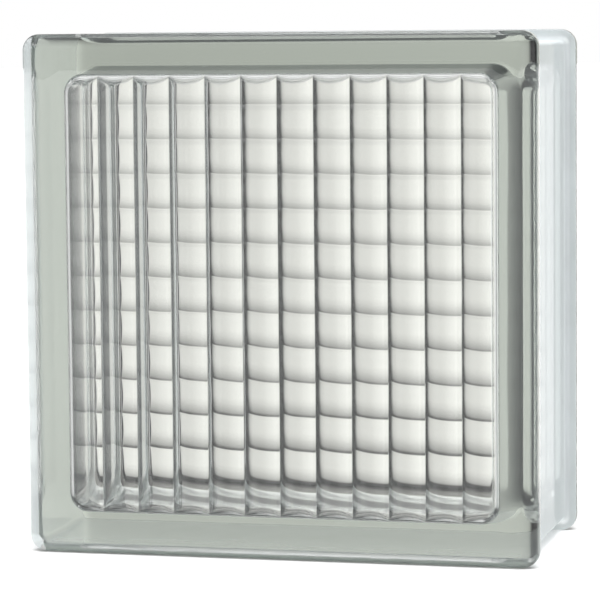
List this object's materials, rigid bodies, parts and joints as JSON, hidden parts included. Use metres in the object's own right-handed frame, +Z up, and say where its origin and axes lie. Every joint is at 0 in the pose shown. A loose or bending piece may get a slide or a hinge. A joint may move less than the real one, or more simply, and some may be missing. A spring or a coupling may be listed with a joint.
{
  "type": "glass block",
  "caption": "Square hollow glass block: two pressed halves fused at mid-depth, upright flutes inside the front, level flutes inside the rear, rims and a mortar channel round the sides.",
  "frame": {"origin": "centre of the block's footprint, on the plane its lower rims stand on", "axes": "+Z up; +X across the face, to the right as the front is looked at; the front face, which has upright flutes on its inside, is at -Y; +Y through the block to the rear face"},
  "size_m": [0.19, 0.095, 0.19],
  "materials": {
    "glass": "clear pressed glass with a faint green-grey tint, fire-polished smooth"
  },
  "bodies": {
    "root": {"front_half": "glass", "rear_half": "glass"}
  },
  "joints": []
}
